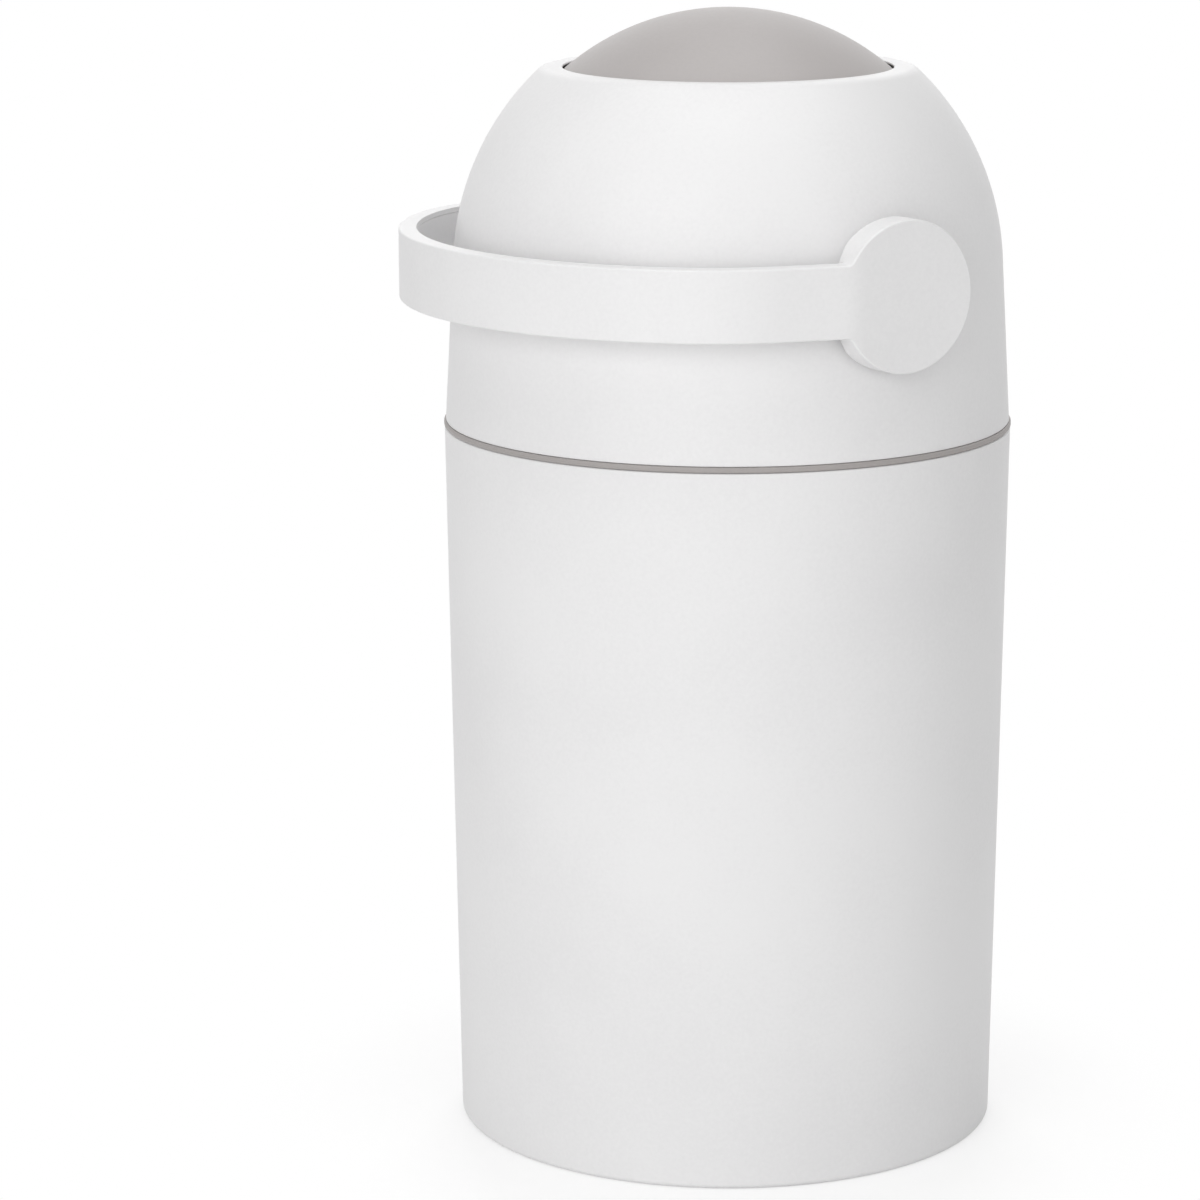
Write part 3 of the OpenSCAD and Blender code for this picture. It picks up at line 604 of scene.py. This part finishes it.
# ---- Ball ----
# The turning ball is moulded in two warm-grey shells that lap at a joint above the pivot. The dome shows
# in the opening; the body below carries the hubs for the axles, the stop lugs and the cup's landing.
ball_wall = 2.5 * MM
ball_in_r = ball_r - ball_wall
mouth_r = 79.0 * MM
mouth_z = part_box("cup")[0].z
landing_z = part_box("ball_body")[0].z
landing_t = 2.0 * MM
landing_in_r = 75.5 * MM
dome_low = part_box("ball_dome")[0].z
lap_h = 7.0 * MM
lap_t = 2.0 * MM
split_z = dome_low + lap_h
split_gap = 0.2 * MM
cup_fit = 0.3 * MM
hub_r = 18.0 * MM
hub_x0 = ball_r - 19.0 * MM
hub_x1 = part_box("ball_body")[1].x
hub_end_t = 2.8 * MM
hub_square = 14.2 * MM
hub_screw_hole = 2.2 * MM
lug_w = 10.0 * MM
lug_reach = 27.0 * MM
lug_sink = 1.5 * MM
dome_grey = (0.430, 0.405, 0.398)
dome_shade = (0.408, 0.384, 0.377)


def ball_angle(radius, z):
    return math.degrees(math.asin((z - pivot.z) / radius))


lap_r = math.sqrt(ball_in_r ** 2 - (split_z - pivot.z) ** 2) - cup_fit
lap_in_r = lap_r - lap_t
dome_start = split_z + split_gap
dome_outline = (
    arc((0, pivot.z), ball_r, ball_angle(ball_r, dome_start), 90, 1.5)[:-1] + [(0, pivot.z + ball_r)]
    + [(0, pivot.z + ball_in_r)]
    + arc((0, pivot.z), ball_in_r, 90, ball_angle(ball_in_r, dome_start + lap_t), 1.5)[1:]
    + [(lap_in_r, dome_start + lap_t), (lap_in_r, dome_low), (lap_r, dome_low), (lap_r, dome_start)])
dome = turned_shell("dome_shell", dome_outline)
smooth_skin(dome)
dome_finish = moulded_finish("grey_dome_moulding", dome_grey, dome_shade, gloss=0.38)
dress(dome, dome_finish, "ball", "grey_ball", "ball_dome")

landing_top = landing_z + landing_t
body_outline = (
    arc((0, pivot.z), ball_r, ball_angle(ball_r, landing_z), ball_angle(ball_r, split_z), 1.5)
    + arc((0, pivot.z), ball_in_r, ball_angle(ball_in_r, split_z), ball_angle(ball_in_r, landing_top), 1.5)
    + [(landing_in_r, landing_top), (landing_in_r, landing_z)])
body = turned_shell("ball_body_shell", body_outline)
join_shapes(body, moulded_pins("hubs", [
    (hub_r, hub_x1 - hub_x0, on_pivot(hub_x0, side)) for side in sides], 96), "UNION")
lug_size = (lug_w, lug_reach - hub_r + 2 * MM, hub_x1 - ball_r + lug_sink)
join_shapes(body, moulded_blocks("lugs", [
    ((-lug_w / 2, -lug_reach, 0), lug_size, on_pivot(ball_r - lug_sink, side)) for side in sides]), "UNION")
socket_low = (-hub_square / 2, -hub_square / 2, 0)
socket_size = (hub_square, hub_square, 30 * MM)
join_shapes(body, moulded_blocks("hub_sockets", [
    (socket_low, socket_size, on_pivot(hub_x0 + hub_end_t, side)) for side in sides]), "DIFFERENCE")
join_shapes(body, moulded_pins("hub_holes", [
    (hub_screw_hole, 8 * MM, on_pivot(hub_x0 - 2 * MM, side)) for side in sides], 32), "DIFFERENCE")
smooth_skin(body)
dress(body, dome_finish, "ball", "grey_ball", "ball_body")


# ---- Cup ----
# The chamber in the ball: a smooth grey pot, its mouth level with the ball's skin. Its rim rests on the
# ball's landing and a bead snaps behind it.
cup_r = 73.0 * MM
cup_end_r = 71.0 * MM
cup_wall = 2.2 * MM
cup_bend = 12.0 * MM
cup_rim_t = 2.2 * MM
cup_edge = 0.4 * MM
cup_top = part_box("cup")[1].z
cup_end = cup_top - cup_wall
snap_z = landing_top + cup_fit
snap_t = 0.7 * MM
cup_outline = (
    [(cup_r + cup_edge, mouth_z)]
    + arc((0, pivot.z), ball_r, -math.degrees(math.acos(mouth_r / ball_r)),
          ball_angle(ball_r, mouth_z + cup_rim_t), 1)
    + [(cup_r + cup_wall, mouth_z + cup_rim_t), (cup_r + cup_wall, snap_z)]
    + [(cup_r + cup_wall + cup_fit + snap_t, snap_z), (cup_r + cup_wall, snap_z + 4 * snap_t)]
    + arc((cup_end_r - cup_bend, cup_end - cup_bend), cup_bend + cup_wall, 0, 90, 6)
    + [(0, cup_top), (0, cup_end)]
    + arc((cup_end_r - cup_bend, cup_end - cup_bend), cup_bend, 90, 0, 6)
    + [(cup_r, mouth_z + cup_edge)])
cup = turned_shell("cup_pot", cup_outline)
smooth_skin(cup)
cup_finish = moulded_finish("grey_cup_moulding", dome_grey, dome_shade, gloss=0.34, grain=2200.0)
dress(cup, cup_finish, "ball", "grey_ball", "cup")


# ---- Bushes, axles and screws ----
# What turns and holds: nylon bushes pressed into the head's bosses, square-ended nylon axles, steel
# washers and bright zinc-plated pan-head screws.
nylon_pale = (0.66, 0.645, 0.60)
nylon_shade = (0.60, 0.585, 0.54)
zinc = (0.62, 0.63, 0.65)
zinc_dull = (0.50, 0.50, 0.50)


def zinc_finish(name):
    """Zinc-plated steel: blotched plating, a fine bumpy grain and a soft shine."""
    finish = bpy.data.materials.new(name)
    finish.use_nodes = True
    tree = finish.node_tree
    surface = tree.nodes["Principled BSDF"]
    wire = Wire(tree)
    at = wire.node("ShaderNodeTexCoord", out=3)
    blotch = noise(at, 240.0, 3.0).step(0.35, 0.7)
    scratch = noise(at, 5200.0, 2.0)
    bump = wire.node("ShaderNodeBump", None, {"Strength": 0.4, "Distance": 0.01 * MM, "Height": scratch})
    tree.links.new(blotch.blend(zinc, zinc_dull).socket, surface.inputs["Base Color"])
    tree.links.new((0.24 + blotch * 0.18).socket, surface.inputs["Roughness"])
    tree.links.new(bump.socket, surface.inputs["Normal"])
    surface.inputs["Metallic"].default_value = 1.0
    return finish


def finish_node(node, finish):
    """Gives a solid of the frame its finish in place of the one that it came with."""
    mesh = frame["nodes"][node].data
    mesh.materials.clear()
    mesh.materials.append(finish)


nylon_finish = moulded_finish("nylon_moulding", nylon_pale, nylon_shade, gloss=0.36, grain=1900.0)
steel_finish = zinc_finish("zinc_steel")
for node in ("bush_left", "bush_right", "axle_left", "axle_right"):
    finish_node(node, nylon_finish)
for node in ("tray_screws", "axle_screws", "axle_washers", "flange_screws"):
    finish_node(node, steel_finish)
for node in ("end_cover_left", "end_cover_right"):
    finish_node(node, white_finish)


# ---- Handle ----
# The white band handle with its two round ends is one moulding, hollow from inside. Its outer face is a
# flat strip bent round the head: straight past the round ends, then a soft bend and the wide front arc.
arm_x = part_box("handle_bow")[1].x
band_h = 34.4 * MM
band_t = 8.75 * MM
bow_wall = 2.4 * MM
round_end_r = 36.2 * MM
round_end_t = 13.9 * MM
band_edge = 1.0 * MM
neck_fillet = 3.0 * MM
arm_run = 25.3 * MM
arm_bend_r = 40.0 * MM
arm_bend = math.radians(14.7)
shoulder_run = 30.9 * MM
shoulder_r = 100.0 * MM
shoulder_bend = math.radians(26.4)
front_bend = math.pi / 2 - arm_bend - shoulder_bend

# the front arc's radius follows from the width between the arms
shoulder_turn = front_bend + shoulder_bend
front_r = (arm_x
           - shoulder_r * (math.sin(shoulder_turn) - math.sin(front_bend))
           - shoulder_run * math.cos(shoulder_turn)
           - arm_bend_r * (1 - math.sin(shoulder_turn))) / math.sin(front_bend)
plan = [(front_r * front_bend, front_bend), (shoulder_r * shoulder_bend, shoulder_bend), (shoulder_run, 0),
        (arm_bend_r * arm_bend, arm_bend), (arm_run + round_end_r + 5 * MM, 0)]


def walk_plan(along):
    """Place and heading on the band's outer face, seen from above, this far from the middle of the grip."""
    x = y = heading = 0.0
    left = abs(along)
    for length, turn in plan:
        part = min(left, length)
        if turn:
            radius = length / turn
            ahead = heading + part / radius
            x += radius * (math.sin(ahead) - math.sin(heading))
            y += radius * (math.cos(heading) - math.cos(ahead))
            heading = ahead
        else:
            x += part * math.cos(heading)
            y += part * math.sin(heading)
        left -= part
        if left <= 0:
            break
    return math.copysign(1, along) * x, y, heading


end_at = sum(length for length, turn in plan[:-1]) + arm_run
grip_y = -walk_plan(end_at)[1]


def bend_round(made):
    """Bends the flat strip, with x along the band, y its depth and z its height, round the head."""
    for v in made.verts:
        x, y, heading = walk_plan(v.co.x)
        side = math.copysign(1, v.co.x)
        depth = v.co.y
        v.co = Vector((x - side * math.sin(heading) * depth, grip_y + y + math.cos(heading) * depth,
                       pivot.z + v.co.z))


def strip_outline():
    """Outline of the flat strip: band, hollow necks and round ends, as (along, height) points."""
    half = band_h / 2
    lean = math.degrees(math.asin((half + neck_fillet) / (round_end_r + neck_fillet)))
    neck_at = end_at - (round_end_r + neck_fillet) * math.cos(math.radians(lean))
    right = (arc((neck_at, half + neck_fillet), neck_fillet, -90, -lean, 6)
             + arc((end_at, 0), round_end_r, 180 - lean, lean - 180, 2.5)[1:-1]
             + arc((neck_at, -half - neck_fillet), neck_fillet, lean, 90, 6))
    return right + [(-x, -z) for x, z in right]


def flat_solid(name, outline, depth0, depth1):
    """A flat plate of this outline between two depths below the strip's outer face."""
    made = bmesh.new()
    face = made.faces.new([made.verts.new((x, depth0, z)) for x, z in outline])
    grown = bmesh.ops.extrude_face_region(made, geom=[face])
    moved = [v for v in grown["geom"] if isinstance(v, bmesh.types.BMVert)]
    bmesh.ops.translate(made, verts=moved, vec=(0, depth1 - depth0, 0))
    bmesh.ops.recalc_face_normals(made, faces=made.faces)
    return piece_from(made, name)


def strip_columns(made, reach):
    """Cuts the flat strip across into the short columns that its bends need."""
    start = 0.0
    for length, turn in plan:
        pieces = max(1, math.ceil(math.degrees(turn) / 2.0)) if turn else 1
        for i in range(pieces):
            for side in (-1, 1):
                at = side * (start + length * i / pieces)
                if abs(at) < reach:
                    bmesh.ops.bisect_plane(made, geom=made.verts[:] + made.edges[:] + made.faces[:],
                                           plane_co=(at, 0, 0), plane_no=(1, 0, 0), dist=1e-7)
        start += length


half_band = band_h / 2
channel_h = half_band - bow_wall
handle = flat_solid("handle_band", strip_outline(), 0, round_end_t)

# edges round the outer face
made = bmesh.new()
made.from_mesh(handle.data)
rim = [e for e in made.edges if all(abs(v.co.y) < 1e-7 for v in e.verts)]
bmesh.ops.bevel(made, geom=rim, offset=band_edge, segments=5, profile=0.5, affect="EDGES")
made.to_mesh(handle.data)
made.free()

# the band is thinner than the round ends, which stand back to the head
spare_lean = 33                         # degrees, a little past the necks' fillets
spare_reach = end_at - round_end_r * math.cos(math.radians(spare_lean))
spare_r = round_end_r + 0.05 * MM
spare_half = half_band + 2.6 * MM
spare_side = arc((end_at, 0), spare_r, 180 - spare_lean, 180 + spare_lean, 2.5)
spare_outline = (
    [(spare_reach, spare_half)] + spare_side + [(spare_reach, -spare_half), (-spare_reach, -spare_half)]
    + [(-x, z) for x, z in reversed(spare_side)] + [(-spare_reach, spare_half)])
join_shapes(handle, flat_solid("spare", spare_outline, band_t, round_end_t + 1 * MM), "DIFFERENCE")

# edges round the band's inner side
made = bmesh.new()
made.from_mesh(handle.data)
inner = [e for e in made.edges if all(
    abs(v.co.y - band_t) < 1e-6 and abs(abs(v.co.z) - half_band) < 1e-6 for v in e.verts)]
bmesh.ops.bevel(made, geom=inner, offset=band_edge, segments=4, profile=0.5, affect="EDGES")
made.to_mesh(handle.data)
made.free()

# hollow band and hollow round ends
channel_size = (2 * end_at, band_t + 0.15 * MM - bow_wall, 2 * channel_h)
channel = moulded_blocks("channel", [((-end_at, bow_wall, -channel_h), channel_size, Matrix())])
join_shapes(handle, channel, "DIFFERENCE")
join_shapes(handle, moulded_pins("end_spaces", [
    (round_end_r - bow_wall, 20 * MM, Matrix.Translation((side * end_at, bow_wall, 0))
     @ Matrix.Rotation(-math.pi / 2, 4, "X")) for side in sides], 96), "DIFFERENCE")

made = bmesh.new()
made.from_mesh(handle.data)
strip_columns(made, end_at + round_end_r)
bend_round(made)
made.to_mesh(handle.data)
made.free()
smooth_skin(handle)
dress(handle, white_finish, "ball", "white_shell", "handle_bow")


# ---- Handle liner ----
# A thin white strip that clips into the open inner side of the band and closes it flush.
liner_t = 1.8 * MM
liner_gap = 0.15 * MM
liner_edge = 0.25 * MM
liner_reach = end_at - round_end_r + bow_wall + 1 * MM
liner_half = channel_h - liner_gap
liner_outline = [
    (-liner_reach, -liner_half), (liner_reach, -liner_half),
    (liner_reach, liner_half), (-liner_reach, liner_half)]
liner = flat_solid("handle_inner_strip", liner_outline, band_t - liner_t, band_t)
made = bmesh.new()
made.from_mesh(liner.data)
bmesh.ops.bevel(made, geom=made.edges[:], offset=liner_edge, segments=2, profile=0.5, affect="EDGES")
strip_columns(made, liner_reach)
bend_round(made)
made.to_mesh(liner.data)
made.free()
smooth_skin(liner)
dress(liner, white_finish, "ball", "white_shell", "handle_liner")


# ---- Floor, backdrop and light ----
# A plain white floor that keeps the bin's soft shadow, white all round, and soft even studio light.
floor_half = 12.0
shadow_near = 0.15
shadow_far = 0.26
paper_glow = 0.6                        # share of plain white in the floor that is seen
paper_white = (0.80, 0.80, 0.80)        # for the light that the floor gives back
paper_seen = (1.04, 1.04, 1.04)         # as it is seen

floor_mesh = bpy.data.meshes.new("floor")
floor_mesh.from_pydata(
    [(-floor_half, -floor_half, 0), (floor_half, -floor_half, 0), (floor_half, floor_half, 0),
     (-floor_half, floor_half, 0)], [], [(0, 1, 2, 3)])
floor = bpy.data.objects.new("floor", floor_mesh)
bpy.context.scene.collection.objects.link(floor)

floor_finish = bpy.data.materials.new("white_floor")
floor_finish.use_nodes = True
tree = floor_finish.node_tree
tree.nodes.clear()
wire = Wire(tree)
at = wire.node("ShaderNodeTexCoord", out=3)
out_from_bin = wire.node("ShaderNodeVectorMath", {"operation": "LENGTH"}, {0: at}, out=1)
far = out_from_bin.step(shadow_near, shadow_far)
seen = wire.node("ShaderNodeLightPath")
mirrored = seen.output("Is Glossy Ray") + seen.output("Is Transmission Ray")
paper = wire.node("ShaderNodeBsdfDiffuse", None, {"Color": seen.blend(paper_white, paper_seen)})
glow = wire.node("ShaderNodeEmission", None, {"Color": (1, 1, 1), "Strength": 1.0})
glow_share = (far * (1 - paper_glow) + paper_glow) * (seen + mirrored)
mixed = wire.node("ShaderNodeMixShader", None, {0: glow_share, 1: paper, 2: glow})
output = tree.nodes.new("ShaderNodeOutputMaterial")
tree.links.new(mixed.socket, output.inputs["Surface"])
floor_mesh.materials.append(floor_finish)

sky_strength = 0.37
world = bpy.data.worlds.new("studio")
bpy.context.scene.world = world
world.use_nodes = True
tree = world.node_tree
tree.nodes.clear()
wire = Wire(tree)
seen = wire.node("ShaderNodeLightPath")
mirrored = seen.output("Is Glossy Ray") + seen.output("Is Transmission Ray")
sky = wire.node("ShaderNodeBackground", None, {"Color": (1, 1, 1), "Strength": sky_strength})
white = wire.node("ShaderNodeBackground", None, {"Color": (1, 1, 1), "Strength": 1.0})
mixed = wire.node("ShaderNodeMixShader", None, {0: seen + mirrored, 1: sky, 2: white})
output = tree.nodes.new("ShaderNodeOutputWorld")
tree.links.new(mixed.socket, output.inputs["Surface"])


def softbox(name, round_deg, away, up, size, power, mirrored=True):
    """A square soft light at this angle round the bin, turned to the middle of the bin."""
    data = bpy.data.lights.new(name, "AREA")
    data.size = size
    data.energy = power
    lamp = bpy.data.objects.new(name, data)
    bpy.context.scene.collection.objects.link(lamp)
    a = math.radians(round_deg)
    place = Vector((away * math.sin(a), -away * math.cos(a), up))
    lamp.location = place
    lamp.rotation_euler = (Vector((0, 0, 0.3)) - place).to_track_quat("-Z", "Y").to_euler()
    lamp.visible_glossy = mirrored


softbox("top_light", 0, 0.01, 2.8, 2.6, 26)
softbox("key_light", 27, 3.1, 1.13, 2.0, 31)
softbox("front_light", 62, 3.15, 0.86, 2.0, 17)
softbox("right_light", 102, 2.26, 2.56, 2.0, 6)
softbox("back_light", 237, 2.8, 1.9, 1.6, 36, mirrored=False)

view = bpy.context.scene.view_settings
view.view_transform = "Standard"
